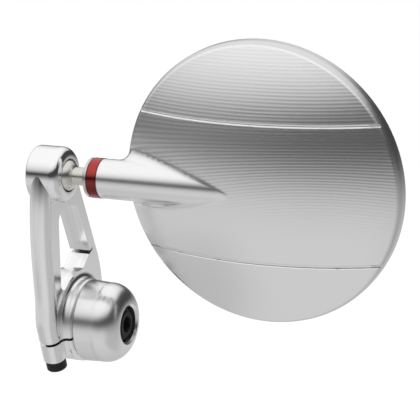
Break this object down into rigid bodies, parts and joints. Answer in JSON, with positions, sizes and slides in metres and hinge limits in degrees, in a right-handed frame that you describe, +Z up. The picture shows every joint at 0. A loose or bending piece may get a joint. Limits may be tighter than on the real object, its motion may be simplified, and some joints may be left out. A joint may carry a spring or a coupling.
{
  "type": "motorcycle bar-end mirror",
  "caption": "Round bar-end motorcycle mirror of machined aluminium on a ball joint, with a two-legged clamp arm and a domed bar-end cap.",
  "frame": {"origin": "on the bar-end axis, at the middle of the arm's thickness, inside the bar thread", "axes": "+X outboard along the handlebar, -Y to the front of the bike, +Z up the arm"},
  "size_m": [0.1254, 0.0402, 0.1168],
  "materials": {
    "satin_aluminium": "satin anodised, milled",
    "turned_aluminium": "fine turned",
    "stud_steel": "polished",
    "black_steel": "black oxide",
    "red_anodised": "red anodised",
    "liner_plastic": "moulded",
    "mirror_glass": "silvered glass",
    "pad_foam": "foam"
  },
  "bodies": {
    "bar_end": {"bar_end_adapter": "turned_aluminium", "bar_end_cap": "turned_aluminium", "cap_bolt": "black_steel"},
    "arm": {"arm": "satin_aluminium", "clamp_screw": "black_steel", "socket_plug": "turned_aluminium", "ball_cup": "liner_plastic"},
    "liner": {"ball_liner": "liner_plastic"},
    "stud": {"ball_stud": "stud_steel"},
    "mirror": {"accent_ring": "red_anodised", "mirror_body": "satin_aluminium", "mirror_glass": "mirror_glass", "glass_pad": "pad_foam"}
  },
  "joints": [
    {"name": "arm_swivel", "type": "hinge", "parent": "bar_end", "child": "arm", "pos_m": [0, 0, 0], "axis": [1, 0, 0], "continuous": true},
    {"name": "mirror_swing", "type": "hinge", "parent": "arm", "child": "liner", "pos_m": [0.0046, -0.0126, 0.053], "axis": [0, 0, 1], "range_deg": [-15, 15]},
    {"name": "mirror_tilt", "type": "hinge", "parent": "liner", "child": "stud", "pos_m": [0.0046, -0.0126, 0.053], "axis": [0, 1, 0], "range_deg": [-15, 15]},
    {"name": "mirror_spin", "type": "hinge", "parent": "stud", "child": "mirror", "pos_m": [0.0046, -0.0126, 0.053], "axis": [1, 0, 0], "continuous": true}
  ]
}
